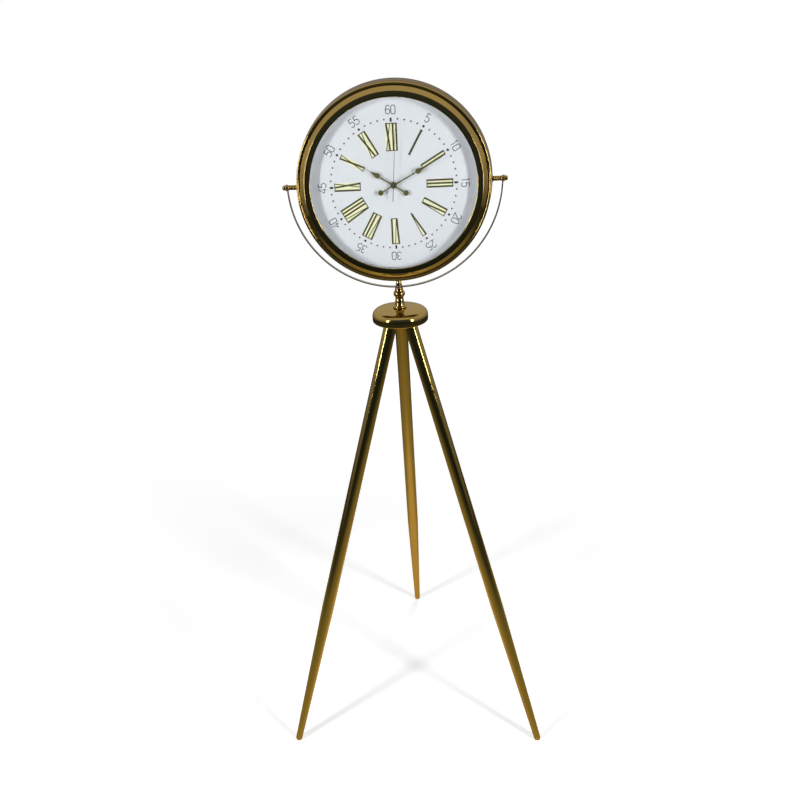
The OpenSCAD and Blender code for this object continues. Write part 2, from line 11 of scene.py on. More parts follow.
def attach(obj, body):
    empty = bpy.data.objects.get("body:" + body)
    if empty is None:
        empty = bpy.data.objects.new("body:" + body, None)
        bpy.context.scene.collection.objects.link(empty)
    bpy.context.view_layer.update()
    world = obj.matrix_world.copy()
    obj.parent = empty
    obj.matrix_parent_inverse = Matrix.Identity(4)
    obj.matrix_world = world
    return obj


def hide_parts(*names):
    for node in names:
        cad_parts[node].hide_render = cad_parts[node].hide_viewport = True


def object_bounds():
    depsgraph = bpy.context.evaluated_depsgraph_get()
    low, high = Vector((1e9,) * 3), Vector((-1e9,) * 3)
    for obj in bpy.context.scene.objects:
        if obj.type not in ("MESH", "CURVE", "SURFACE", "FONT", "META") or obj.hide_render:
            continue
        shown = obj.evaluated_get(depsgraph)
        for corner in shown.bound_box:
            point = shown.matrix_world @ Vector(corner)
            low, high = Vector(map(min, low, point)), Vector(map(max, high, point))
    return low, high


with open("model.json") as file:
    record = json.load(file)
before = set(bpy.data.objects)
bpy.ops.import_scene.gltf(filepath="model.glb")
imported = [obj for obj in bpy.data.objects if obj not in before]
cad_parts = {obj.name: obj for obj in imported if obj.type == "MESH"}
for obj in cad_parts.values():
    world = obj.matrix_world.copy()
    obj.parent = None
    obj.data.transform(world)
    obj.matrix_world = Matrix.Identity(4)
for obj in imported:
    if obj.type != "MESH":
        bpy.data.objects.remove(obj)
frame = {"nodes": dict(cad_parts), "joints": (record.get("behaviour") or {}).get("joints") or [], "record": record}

bl_info = {
    "name": "Tripod floor clock",
    "version": (1, 0, 0),
    "blender": (4, 5, 0),
    "location": "3D Viewport > Sidebar > Clock",
    "description": "Dresses a floor clock: tripod, turned column, half-ring yoke, drum head, dial and hands",
    "category": "Object",
}

CAD_LOW, CAD_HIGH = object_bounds()
MM = 0.001


# Where the CAD puts things

def joint(name):
    """The record's joint of that name."""
    return next(j for j in frame["joints"] if j["name"] == name)


PIN = Vector(joint("head_tilt")["pos_m"])
VIEWER = -Vector(joint("second_spin")["axis"])
LEAN = math.asin(VIEWER.z)
AXIS_Y = PIN.y
# The head's own frame: +Z towards the viewer, +Y up the dial
HEAD = Matrix.Translation(PIN) @ Matrix.Rotation(math.pi / 2 - LEAN, 4, "X")


def pivot(side):
    """The pivot axis's frame on one side, with +Z outwards."""
    return Matrix.Translation(PIN) @ Matrix.Rotation(side * math.pi / 2, 4, "Y")


def upright(z):
    """A frame on the tripod's axis at a height."""
    return Matrix.Translation((0, AXIS_Y, z))


def span(node, place=Matrix.Identity(4)):
    """Lowest and highest corner of a CAD node in a frame, in metres."""
    back = place.inverted()
    points = [back @ v.co for v in frame["nodes"][node].data.vertices]
    low = Vector([min(p[i] for p in points) for i in range(3)])
    high = Vector([max(p[i] for p in points) for i in range(3)])
    return low, high


# Making meshes

def piece(name, body, slot, shape, stands_for=(), look=None, crisp=35):
    """Links a bmesh or a mesh as a piece that rides on a body and stands for CAD nodes."""
    mesh = finished(name, shape, crisp) if isinstance(shape, bmesh.types.BMesh) else shape
    mesh.materials.clear()
    mesh.materials.append(finish(look or slot))
    made = bpy.data.objects.new(name, mesh)
    bpy.context.scene.collection.objects.link(made)
    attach(made, body)
    if stands_for:
        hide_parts(*stands_for)


def finished(name, bm, crisp=35):
    """Turns a bmesh into a mesh with merged doubles, outward faces and edges crisp from an angle."""
    bmesh.ops.remove_doubles(bm, verts=bm.verts, dist=1e-7)
    bmesh.ops.recalc_face_normals(bm, faces=bm.faces)
    mesh = bpy.data.meshes.new(name)
    bm.to_mesh(mesh)
    bm.free()
    mesh.shade_smooth()
    mesh.set_sharp_from_angle(angle=math.radians(crisp))
    return mesh


def evaluated_mesh(thing):
    """The plain mesh that an object's modifiers give."""
    return bpy.data.meshes.new_from_object(thing.evaluated_get(bpy.context.evaluated_depsgraph_get()))


def oval(cx, cy, rx, ry, start, end, steps):
    """Points on an oval arc, in degrees."""
    angles = [math.radians(start + (end - start) * i / steps) for i in range(steps + 1)]
    return [(cx + rx * math.cos(a), cy + ry * math.sin(a)) for a in angles]


def arc(cx, cy, r, start, end, steps):
    """Points on a round arc, in degrees."""
    return oval(cx, cy, r, r, start, end, steps)


def eased(points, radius, steps):
    """A closed outline with its corners rounded, but for those that are nearly straight."""
    side_share, nearly_straight, tiny = 0.45, 0.12, 1e-6
    out = []
    for i, p in enumerate(points):
        corner = Vector(p)
        to_a, to_b = Vector(points[i - 1]) - corner, Vector(points[(i + 1) % len(points)]) - corner
        cut = min(radius, side_share * to_a.length, side_share * to_b.length)
        if cut < tiny or abs(to_a.angle(to_b, math.pi) - math.pi) < nearly_straight:
            out.append(p)
            continue
        a, b = corner + to_a.normalized() * cut, corner + to_b.normalized() * cut
        for k in range(steps + 1):
            t = k / steps
            q = a * (1 - t) ** 2 + corner * 2 * t * (1 - t) + b * t ** 2
            out.append((q.x, q.y))
    return out


def turned(bm, profile, place, segments, closed=True):
    """Spins a profile of (radius, height) in millimetres round a frame's Z."""
    rings = []
    for r, z in profile:
        angles = [2 * math.pi * s / segments for s in range(segments)] if r else [0]
        rings.append([bm.verts.new(place @ Vector((r * MM * math.cos(a), r * MM * math.sin(a), z * MM)))
                      for a in angles])
    pairs = list(zip(rings, rings[1:]))
    if closed:
        pairs.append((rings[-1], rings[0]))
    for one, two in pairs:
        if len(one) == 1 and len(two) == 1:
            continue
        for s in range(segments):
            t = (s + 1) % segments
            if len(one) == 1:
                bm.faces.new((one[0], two[s], two[t]))
            elif len(two) == 1:
                bm.faces.new((one[s], one[t], two[0]))
            else:
                bm.faces.new((one[s], one[t], two[t], two[s]))


def spun(profile, place, segments, closed=True):
    """A bmesh of one turned shape."""
    bm = bmesh.new()
    turned(bm, profile, place, segments, closed)
    return bm


def skin(bm, rows, loop=False):
    """Joins rows of vertices round a section by faces, in a loop or with both ends closed."""
    pairs = list(zip(rows, rows[1:]))
    if loop:
        pairs.append((rows[-1], rows[0]))
    else:
        bm.faces.new(rows[0][::-1])
        bm.faces.new(rows[-1])
    for one, two in pairs:
        for i in range(len(one)):
            bm.faces.new((one[i - 1], one[i], two[i], two[i - 1]))


def plate(bm, outline, place, low, high, bevel=0.0):
    """Raises a flat outline (millimetres) from low to high, with its upper edge eased by a bevel."""
    steps = 3
    layers = [(low, 0.0)]
    if bevel:
        for k in range(steps + 1):
            a = math.pi / 2 * k / steps
            layers.append((high - bevel + bevel * math.sin(a), bevel * (1 - math.cos(a))))
    else:
        layers.append((high, 0.0))
    rows = []
    for z, inset in layers:
        row = []
        for i, p in enumerate(outline):
            way = (Vector(outline[(i + 1) % len(outline)]) - Vector(outline[i - 1])).normalized()
            v = Vector(p) + Vector((-way.y, way.x)) * inset
            row.append(bm.verts.new(place @ Vector((v.x * MM, v.y * MM, z * MM))))
        rows.append(row)
    skin(bm, rows)


# Finishes

class Nodes:
    """A node tree, with short ways to add linked nodes."""

    def __init__(self, tree):
        self.tree = tree
        tree.nodes.clear()

    def give(self, socket, value):
        """Links an input to another node's output, or sets its value."""
        if isinstance(value, bpy.types.NodeSocket):
            self.tree.links.new(value, socket)
        else:
            socket.default_value = value

    def add(self, kind, **sockets):
        """A node whose named inputs are given outputs or values."""
        node = self.tree.nodes.new(kind)
        for key, value in sockets.items():
            self.give(node.inputs[key.replace("_", " ")], value)
        return node

    def math(self, operation, *values):
        node = self.add("ShaderNodeMath")
        node.operation = operation
        for socket, value in zip(node.inputs, values):
            self.give(socket, value)
        return node.outputs["Value"]


class Look(Nodes):
    """The nodes of a material or of the world."""

    def __init__(self, name, world=False):
        self.owner = (bpy.data.worlds if world else bpy.data.materials).new(name)
        self.owner.use_nodes = True
        super().__init__(self.owner.node_tree)
        self.out = self.add("ShaderNodeOutputWorld" if world else "ShaderNodeOutputMaterial")

    @functools.cached_property
    def coords(self):
        """Object coordinates, on which a pattern stays with its piece."""
        return self.add("ShaderNodeTexCoord").outputs["Object"]

    def mapped(self, scale=(1, 1, 1), turn=(0, 0, 0)):
        """The coordinates stretched and turned."""
        return self.add("ShaderNodeMapping", Vector=self.coords, Scale=scale, Rotation=turn).outputs["Vector"]

    def noise(self, scale, detail=3.0, rough=0.5, vector=None):
        """A cloudy pattern."""
        return self.add("ShaderNodeTexNoise", Vector=vector or self.coords, Scale=scale, Detail=detail,
                        Roughness=rough).outputs["Fac"]

    def ramp(self, factor, *stops):
        """A colour that runs through stops of (place, colour)."""
        node = self.add("ShaderNodeValToRGB", Fac=factor)
        elements = node.color_ramp.elements
        while len(elements) < len(stops):
            elements.new(0.5)
        for element, (at, colour) in zip(elements, stops):
            element.position = at
            element.color = (*colour, 1)
        return node.outputs["Color"]

    def mottled(self, pattern, colour, by):
        """A colour that a pattern makes a little darker and lighter."""
        return self.ramp(pattern, (0.3, shade(colour, 1 - by)), (0.7, shade(colour, 1 + by)))

    def between(self, factor, low, high, start=0.3, end=0.7):
        """Spreads the factor's range from start to end over low to high."""
        return self.add("ShaderNodeMapRange", Value=factor, From_Min=start, From_Max=end, To_Min=low,
                        To_Max=high).outputs["Result"]

    def away(self, reach):
        """Distance from the origin, 1 at the reach."""
        length = self.add("ShaderNodeVectorMath")
        length.operation = "LENGTH"
        self.give(length.inputs[0], self.coords)
        return self.between(length.outputs["Value"], 0.0, 1.0, 0.0, reach)

    def bump(self, height, strength, distance=0.0001):
        return self.add("ShaderNodeBump", Height=height, Strength=strength, Distance=distance).outputs["Normal"]

    def glow(self, colour, strength=1.0):
        return self.add("ShaderNodeEmission", Color=colour, Strength=strength).outputs["Emission"]

    def seen(self):
        """1 for rays from the camera, from a mirror and through glass."""
        path = self.add("ShaderNodeLightPath").outputs
        return self.math("MAXIMUM", self.math("MAXIMUM", path["Is Camera Ray"], path["Is Glossy Ray"]),
                         path["Is Transmission Ray"])

    def mixed(self, factor, one, two):
        """The first shader where the factor is 0, the second where it is 1."""
        node = self.add("ShaderNodeMixShader", Fac=factor)
        self.give(node.inputs[1], one)
        self.give(node.inputs[2], two)
        return node.outputs["Shader"]

    def show(self, shader):
        """Ends the tree in a shader and returns what it belongs to."""
        self.give(self.out.inputs["Surface"], shader)
        return self.owner

    def surface(self, **sockets):
        """Ends the tree in a Principled shader."""
        return self.show(self.add("ShaderNodeBsdfPrincipled", **sockets).outputs["BSDF"])


def shade(colour, by):
    """A colour made lighter or darker."""
    return tuple(min(1.0, c * by) for c in colour)


def grey(value):
    return (value, value, value)


def plated(name, colour, rough, edge=(0.85, 0.72, 0.48), coat=0.5):
    """Polished plating: a hint of cloudiness, fine hairlines and a slightly uneven polish."""
    n = Look(name)
    hairlines = n.noise(420.0, 2.0, 0.5, n.mapped(scale=(1, 1, 0.12)))
    return n.surface(Metallic=1.0, Specular_Tint=(*edge, 1), Coat_Weight=coat, Coat_Roughness=0.08,
                     Base_Color=n.mottled(n.noise(9.0, 4.0), colour, 0.03),
                     Roughness=n.between(n.noise(55.0, 5.0, 0.6), rough * 0.8, rough * 1.25),
                     Normal=n.bump(hairlines, 0.04))


def zinc(name, colour, rough):
    """Zinc-plated steel with a faint crystalline mottling."""
    n = Look(name)
    spangle = n.add("ShaderNodeTexVoronoi", Vector=n.coords, Scale=240.0).outputs["Distance"]
    return n.surface(Metallic=1.0,
                     Base_Color=n.ramp(spangle, (0.0, shade(colour, 0.86)), (0.8, shade(colour, 1.08))),
                     Roughness=n.between(n.noise(160.0), rough * 0.8, rough * 1.3),
                     Normal=n.bump(n.noise(900.0), 0.12))


def moulded(name, colour, rough, grain=700.0, depth=0.15):
    """Moulded plastic or rubber with a fine spark-eroded grain."""
    n = Look(name)
    return n.surface(IOR=1.46, Base_Color=n.mottled(n.noise(30.0), colour, 0.1),
                     Roughness=n.between(n.noise(grain, 2.0), rough * 0.85, min(1.0, rough * 1.15)),
                     Normal=n.bump(n.noise(grain, 4.0, 0.6), depth))


def lacquer(name, colour, rough):
    """Sprayed lacquer on sheet metal, with a faint orange peel."""
    n = Look(name)
    return n.surface(IOR=1.5, Base_Color=n.mottled(n.noise(4.0), colour, 0.01),
                     Roughness=n.between(n.noise(120.0), rough * 0.9, rough * 1.1),
                     Normal=n.bump(n.noise(600.0), 0.06))


def board(name, colour, rough):
    """Pressed fibreboard with short flattened fibres."""
    n = Look(name)
    fibres = n.noise(260.0, 6.0, 0.7, n.mapped(scale=(1, 0.4, 0.25), turn=(0.3, 0.2, 0.5)))
    tones = (0.3, shade(colour, 0.7)), (0.55, colour), (0.75, shade(colour, 1.25))
    return n.surface(IOR=1.4, Base_Color=n.ramp(fibres, *tones),
                     Roughness=n.between(fibres, rough * 0.9, min(1.0, rough * 1.1)),
                     Normal=n.bump(fibres, 0.35, 0.0002))


def clear_glass(name, tint):
    """Thin clear glass: a weak mirror over a faintly tinted see-through sheet."""
    n = Look(name)
    through = n.add("ShaderNodeBsdfTransparent", Color=(*tint, 1))
    polish = n.between(n.noise(40.0, 4.0), 0.005, 0.03)
    mirror = n.add("ShaderNodeBsdfGlossy", Color=(1, 1, 1, 1), Roughness=polish)
    facing = n.add("ShaderNodeLayerWeight", Blend=0.5).outputs["Facing"]
    weight = n.between(n.math("POWER", facing, 5.0), 0.04, 1.0, 0.0, 1.0)
    return n.show(n.mixed(weight, through.outputs["BSDF"], mirror.outputs["BSDF"]))


@functools.cache
def finish(name):
    """The finish of that name, made once."""
    look = bpy.context.scene.clock_finish
    polish = look.brass_roughness
    maker, *values = {
        "polished_brass": (plated, look.brass, polish),
        "dark_brass": (plated, look.bezel, polish),
        "drum_bronze": (plated, look.drum, polish * 1.4, (0.38, 0.30, 0.15), 0.0),
        "yoke_brass": (plated, look.yoke, 0.3, (0.9, 0.88, 0.8)),
        "plain_steel": (zinc, (0.55, 0.56, 0.57), 0.28),
        "cast_plate": (moulded, (0.08, 0.08, 0.085), 0.7, 350.0, 0.4),
        "fibre": (board, (0.33, 0.17, 0.11), 0.8),
        "clear_glass": (clear_glass, (0.985, 0.99, 0.988)),
        "dial_white": (lacquer, look.dial, 0.55),
        "reveal_grey": (moulded, (0.42, 0.44, 0.48), 0.5),
        "fibreboard": (board, (0.45, 0.33, 0.20), 0.85),
        "black_board": (board, (0.035, 0.035, 0.037), 0.7),
        "black_plastic": (moulded, (0.04, 0.04, 0.043), 0.45),
        "grey_plastic": (moulded, (0.10, 0.10, 0.11), 0.5),
        "battery_shell": (lacquer, (0.12, 0.17, 0.22), 0.3),
        "soft_rubber": (moulded, (0.03, 0.03, 0.03), 0.85),
        "gear_plastic": (moulded, (0.80, 0.78, 0.70), 0.4),
        "hand_metal": (lacquer, look.hands, 0.35),
        "thin_grey": (lacquer, (0.10, 0.10, 0.11), 0.4),
        "numeral_olive": (lacquer, look.numerals, 0.35),
        "numeral_gold": (lacquer, look.grounds, 0.4),
        "print_black": (lacquer, look.ink, 0.5),
    }[name]
    return maker(name, *values)


# Sizes and colours to change

Millimetres = functools.partial(FloatProperty, subtype="DISTANCE_CAMERA")
Colour = functools.partial(FloatVectorProperty, subtype="COLOR", min=0, max=1)


class ClockSizes(bpy.types.PropertyGroup):
    """Sizes of the pieces that the scene makes, in millimetres."""

    leg_turns: IntProperty(name="Leg facets", description="Facets round a leg", default=96, min=24)
    dot_circle: Millimetres(name="Dot circle", description="Radius of the ring of minute dots", default=131.7, min=80)
    dot_size: Millimetres(name="Minute dot", description="Diameter of a minute dot", default=3.5, min=0.5)
    big_dot_size: Millimetres(name="Five-minute dot", description="Diameter of the dot at each fifth minute",
                              default=5.0, min=0.5)
    tick_width: Millimetres(name="Quarter tick", description="Width of the bar at each quarter", default=4.0, min=0.5)
    number_circle: Millimetres(name="Number circle", description="Radius to the middle of the minute numbers",
                               default=149.6, min=100)
    number_height: Millimetres(name="Number height", description="Height of the minute numbers", default=16.6, min=5)
    number_line: Millimetres(name="Number line", description="Line width of the minute numbers", default=1.5, min=0.2)
    numeral_inner: Millimetres(name="Numeral foot", description="Inner radius of the hour numerals", default=68.8,
                               min=40)
    numeral_outer: Millimetres(name="Numeral head", description="Outer radius of the hour numerals", default=124.0,
                               min=80)
    print_height: Millimetres(name="Print height", description="Height of the print above the dial", default=0.08,
                              min=0.01)


class ClockFinish(bpy.types.PropertyGroup):
    """Colours and polish of the finishes."""

    brass: Colour(name="Brass", description="Colour of the gold plating", default=(0.47, 0.345, 0.10))
    bezel: Colour(name="Bezel", description="Colour of the bezel's plating", default=(0.46, 0.335, 0.11))
    drum: Colour(name="Drum", description="Colour of the drum's plating", default=(0.44, 0.325, 0.12))
    yoke: Colour(name="Yoke", description="Colour of the yoke's plating", default=(0.58, 0.55, 0.46))
    dial: Colour(name="Dial", description="Colour of the dial", default=(0.80, 0.82, 0.86))
    numerals: Colour(name="Numerals", description="Colour of the hour numerals", default=(0.080, 0.075, 0.020))
    grounds: Colour(name="Numeral grounds", description="Colour between the numerals' strokes",
                    default=(0.92, 0.91, 0.62))
    hands: Colour(name="Hands", description="Colour of the hour and minute hands", default=(0.115, 0.110, 0.035))
    ink: Colour(name="Ink", description="Colour of the minute print", default=(0.03, 0.03, 0.035))
    brass_roughness: FloatProperty(name="Polish", description="Roughness of the polished plating",
                                   subtype="FACTOR", default=0.11, min=0, max=1)


class ClockStage(bpy.types.PropertyGroup):
    """Camera, lamps and backdrop."""

    lens: Millimetres(name="Lens", description="Focal length", default=33.134)
    camera_place: FloatVectorProperty(name="Camera", description="Place of the camera", subtype="TRANSLATION",
                                      default=(0.0613, -1.6854, 1.6736))
    yaw: FloatProperty(name="Yaw", description="Turn to the right", subtype="ANGLE", default=math.radians(-3.806))
    pitch: FloatProperty(name="Pitch", description="Look down", subtype="ANGLE", default=math.radians(22.429))
    roll: FloatProperty(name="Roll", description="Turn round the view", subtype="ANGLE",
                        default=math.radians(-3.251))
    shift_x: FloatProperty(name="Shift across", description="Sideways shift of the lens", default=0.02103)
    shift_y: FloatProperty(name="Shift up", description="Upward shift of the lens", default=-0.05117)
    side_lamps: FloatProperty(name="Side lamps", description="Power of each side lamp", unit="POWER",
                              default=33.0, min=0)
    back_fill: FloatProperty(name="Back fill", description="Power of the soft lamp behind", unit="POWER",
                             default=35.0, min=0)
    room_light: FloatProperty(name="Room light", description="Strength of the light from all round", default=0.08,
                              min=0)


# The stage

class CLOCK_OT_stage(bpy.types.Operator):
    """Floor, studio surroundings, lamps and camera"""

    bl_idname = "clock.stage"
    bl_label = "Stage"

    def execute(self, context):
        scene = context.scene
        stage = scene.clock_stage
        self.camera(scene, stage)
        self.floor()
        self.room()
        self.world(scene, stage)
        side_size = (0.26, 1.1)
        for side, name in ((-1, "left"), (1, "right")):
            place = (side * 1.60, -1.42, 1.60)
            self.lamp("side_lamp_" + name, place, side_size, stage.side_lamps)
            self.panel("side_panel_" + name, place, side_size)
        self.lamp("back_fill", (0.8, 2.4, 2.6), (1.6, 1.0), stage.back_fill)
        scene.view_settings.view_transform = "Standard"
        return {"FINISHED"}

    def camera(self, scene, stage):
        yaw, pitch, roll = stage.yaw, stage.pitch, stage.roll
        ahead = Vector((math.sin(yaw) * math.cos(pitch), math.cos(yaw) * math.cos(pitch), -math.sin(pitch)))
        level = Vector((math.cos(yaw), -math.sin(yaw), 0))
        over = level.cross(ahead)
        right = math.cos(roll) * level + math.sin(roll) * over
        up = math.cos(roll) * over - math.sin(roll) * level
        data = bpy.data.cameras.new("camera")
        data.lens = stage.lens
        data.sensor_width = 36
        data.shift_x, data.shift_y = stage.shift_x, stage.shift_y
        data.clip_start, data.clip_end = 0.01, 60
        camera = bpy.data.objects.new("camera", data)
        turn = Matrix((right, up, -ahead)).transposed().to_4x4()
        camera.matrix_world = Matrix.Translation(stage.camera_place) @ turn
        scene.collection.objects.link(camera)
        scene.camera = camera

    def floor(self):
        """A pale disc that glows more with the distance, so that it meets the white backdrop."""
        edge, below_feet = 14.0, 0.0002
        bm = bmesh.new()
        bmesh.ops.create_circle(bm, cap_ends=True, segments=96, radius=edge)
        n = Look("pale_floor")
        paint = n.ramp(n.noise(2.0), (0.3, grey(0.90)), (0.7, grey(0.92)))
        plain = n.add("ShaderNodeBsdfDiffuse", Color=paint).outputs["BSDF"]
        haze = n.ramp(n.away(8.0), (0.1, grey(0.44)), (0.28, grey(0.74)), (0.5, grey(0.96)), (0.9, grey(1.0)))
        glowing = n.add("ShaderNodeAddShader")
        for socket, shader in zip(glowing.inputs, (plain, n.glow(haze))):
            n.give(socket, shader)
        floor = self.backdrop("floor", bm, n.show(n.mixed(n.seen(), plain, glowing.outputs["Shader"])))
        floor.location.z = CAD_LOW[2] - below_feet

    def room(self):
        """A glowing shell which only the polished metal mirrors: a painted reflection of a dim room, with a warm
        glowing ground round the clock.
        """
        ground = 4
        profile = ([(r, ground) for r in (0, 400, 900, 1600, 2600, 3600)]
                   + [(3600, 1200), (3500, 2400), (3000, 3400), (2000, 4200), (0, 4600)])
        n = Look("mirrored_glow_room")
        place = n.add("ShaderNodeSeparateXYZ", Vector=n.coords).outputs
        # Painted reflections: the walls glow dark in front and lighter at the sides and back, and the shell's floor
        # glows warm near the clock so that the brass mirrors a golden ground.
        wall = n.ramp(n.between(place["Y"], 0.0, 1.0, -3.6, 3.6), (0.12, (0.045, 0.060, 0.070)),
                      (0.24, (0.46, 0.41, 0.33)), (0.5, (0.60, 0.54, 0.45)), (1.0, (0.60, 0.58, 0.58)))
        mirrored_ground_glow = n.ramp(n.away(3.6), (0.06, (0.80, 0.58, 0.26)), (0.14, (0.40, 0.32, 0.14)),
                     (0.36, (0.23, 0.20, 0.09)), (0.58, (0.06, 0.06, 0.05)), (1.0, (0.03, 0.035, 0.035)))
        walls = n.glow(wall, n.between(place["Z"], 0.3, 1.0, 0.2, 2.2))
        ceiling = n.glow((0.62, 0.56, 0.46, 1.0))
        above = n.mixed(n.between(place["Z"], 0.0, 1.0, 3.4, 4.1), walls, ceiling)
        shell = n.mixed(n.math("LESS_THAN", place["Z"], 2.5 * ground * MM), above, n.glow(mirrored_ground_glow))
        bm = spun(profile, Matrix.Identity(4), 96, closed=False)
        room = self.backdrop("mirrored_glow_room", bm, n.show(shell))
        room.data.shade_smooth()
        self.only_mirrored(room)

    def panel(self, name, place, size):
        """The bright front of a lamp, as the polished metal mirrors it."""
        bm = bmesh.new()
        bmesh.ops.create_grid(bm, x_segments=1, y_segments=1, size=0.5, matrix=Matrix.Diagonal((*size, 1, 1)))
        n = Look(name)
        panel = self.backdrop(name, bm, n.show(n.glow((1.0, 0.98, 0.92, 1.0), 15.0)))
        panel.matrix_world = self.aimed(place)
        self.only_mirrored(panel)

    def backdrop(self, name, bm, material):
        """Links a bmesh as an object of the stage."""
        mesh = bpy.data.meshes.new(name)
        bm.to_mesh(mesh)
        bm.free()
        mesh.materials.append(material)
        made = bpy.data.objects.new(name, mesh)
        bpy.context.scene.collection.objects.link(made)
        return made

    def only_mirrored(self, thing):
        """Hides an object from all rays but those of polished surfaces."""
        for ray in ("camera", "diffuse", "shadow", "transmission", "volume_scatter"):
            setattr(thing, "visible_" + ray, False)

    def aimed(self, place):
        """The frame of a lamp at a place, turned to the clock's head."""
        aim = PIN - Vector(place)
        return Matrix.Translation(place) @ aim.to_track_quat("-Z", "Y").to_matrix().to_4x4()

    def world(self, scene, stage):
        """Even light from all round, and plain white where it is seen."""
        n = Look("studio", world=True)
        lit = n.add("ShaderNodeBackground", Color=(0.98, 0.99, 1.0, 1), Strength=stage.room_light)
        white = n.add("ShaderNodeBackground", Color=(1, 1, 1, 1), Strength=1.0)
        scene.world = n.show(n.mixed(n.seen(), lit.outputs["Background"], white.outputs["Background"]))

    def lamp(self, name, place, size, power):
        """A soft lamp that polished surfaces don't mirror."""
        data = bpy.data.lights.new(name, "AREA")
        data.shape = "RECTANGLE"
        data.size, data.size_y = size
        data.energy = power
        lamp = bpy.data.objects.new(name, data)
        lamp.matrix_world = self.aimed(place)
        lamp.visible_glossy = False
        bpy.context.scene.collection.objects.link(lamp)


# Stand

# Radius of the hole for the column's rod, in millimetres
ROD_HOLE = 4.05

# A leg's own sizes in millimetres, as in the solids
FOOT_CIRCLE, LEG_TOP, FOOT_R, FLAT, INTO_HUB = 362.0, 24.0, 8.5, 1.2, 8.0
TUBE_R, TUBE_BORE, FOOT_BORE, TUBE_START, TAPER_TOP = 15.0, 13.5, 7.0, 2.0, 405.0
EDGE, HEAD_EDGE, SEAM, PLUG_TOP = 0.12, 0.3, 0.05, 26.0
HUB_Z = span("hub_cover")[0].z / MM
LEG_RISE = HUB_Z - (FOOT_R - FLAT)
LEG_LEAN = math.atan((FOOT_CIRCLE - LEG_TOP) / LEG_RISE)
LEG_LENGTH = LEG_RISE / math.cos(LEG_LEAN) + INTO_HUB
LEG_PROFILE = [(FOOT_R - EDGE, TUBE_START), (FOOT_R, TUBE_START + EDGE), (TUBE_R, TAPER_TOP),
               (TUBE_R, LEG_LENGTH - HEAD_EDGE), (TUBE_R - HEAD_EDGE, LEG_LENGTH), (TUBE_BORE, LEG_LENGTH),
               (TUBE_BORE, TAPER_TOP), (FOOT_BORE, TUBE_START)]
PLUG_R, PLUG_START = FOOT_BORE - SEAM, TUBE_START - SEAM
TIP_PROFILE = ([(0, -FOOT_R)] + arc(0, 0, FOOT_R, -85, 0, 16)
               + [(FOOT_R, PLUG_START - EDGE), (FOOT_R - EDGE, PLUG_START), (PLUG_R, PLUG_START),
                  (PLUG_R, PLUG_TOP), (0, PLUG_TOP)])


def leg_place(turn):
    """The frame on a leg's centre line, with +Z up the leg."""
    return (Matrix.Translation((0, AXIS_Y, 0)) @ Matrix.Rotation(math.radians(turn), 4, "Z")
            @ Matrix.Translation((0, FOOT_CIRCLE * MM, (FOOT_R - FLAT) * MM)) @ Matrix.Rotation(LEG_LEAN, 4, "X"))


class CLOCK_OT_legs(bpy.types.Operator):
    """The three tube legs with their tapered ends and rounded tips"""

    bl_idname = "clock.legs"
    bl_label = "Legs"

    def execute(self, context):
        facets = context.scene.clock_sizes.leg_turns
        tips = bmesh.new()
        for name, turn in (("leg_back", 0), ("leg_left", 120), ("leg_right", 240)):
            place = leg_place(turn)
            piece(name + "_tube", "stand", "polished_brass", spun(LEG_PROFILE, place, facets), (name,))
            turned(tips, TIP_PROFILE, place, facets)
        whole = tips.verts[:] + tips.edges[:] + tips.faces[:]
        cut = bmesh.ops.bisect_plane(tips, geom=whole, plane_co=(0, 0, CAD_LOW[2]), plane_no=(0, 0, 1),
                                     clear_inner=True)
        edges = [e for e in cut["geom_cut"] if isinstance(e, bmesh.types.BMEdge)]
        bmesh.ops.holes_fill(tips, edges=edges, sides=0)
        piece("rounded_tips", "stand", "polished_brass", tips, ("leg_tips",))
        return {"FINISHED"}


class CLOCK_OT_hub(bpy.types.Operator):
    """The spun hub cover"""

    bl_idname = "clock.hub"
    bl_label = "Hub"

    def execute(self, context):
        low, high = span("hub_cover")
        r, h = (high.x - low.x) / 2 / MM, (high.z - low.z) / MM
        shoulder, lip, wall, dome = 14.0, 4.0, 2.0, 3.0
        middle = h - shoulder - dome
        slope_r, slope_z, flat_r = r * 0.52, h - dome * 0.28, r * 0.26
        outer = ([(r - lip, 0)] + arc(r - lip, lip, lip, -86, 0, 12) + arc(r - shoulder, middle, shoulder, 0, 84, 24)
                 + [(slope_r, slope_z), (flat_r, h), (ROD_HOLE, h)])
        inner = ([(ROD_HOLE, h - wall), (flat_r, h - wall), (slope_r, slope_z - wall)]
                 + arc(r - shoulder, middle, shoulder - wall, 84, 0, 16)
                 + arc(r - lip, lip, lip - wall, 0, -88, 8) + [(r - lip, wall)])
        piece("spun_hub", "stand", "polished_brass", spun(outer + inner, upright(low.z), 160), ("hub_cover",))
        return {"FINISHED"}


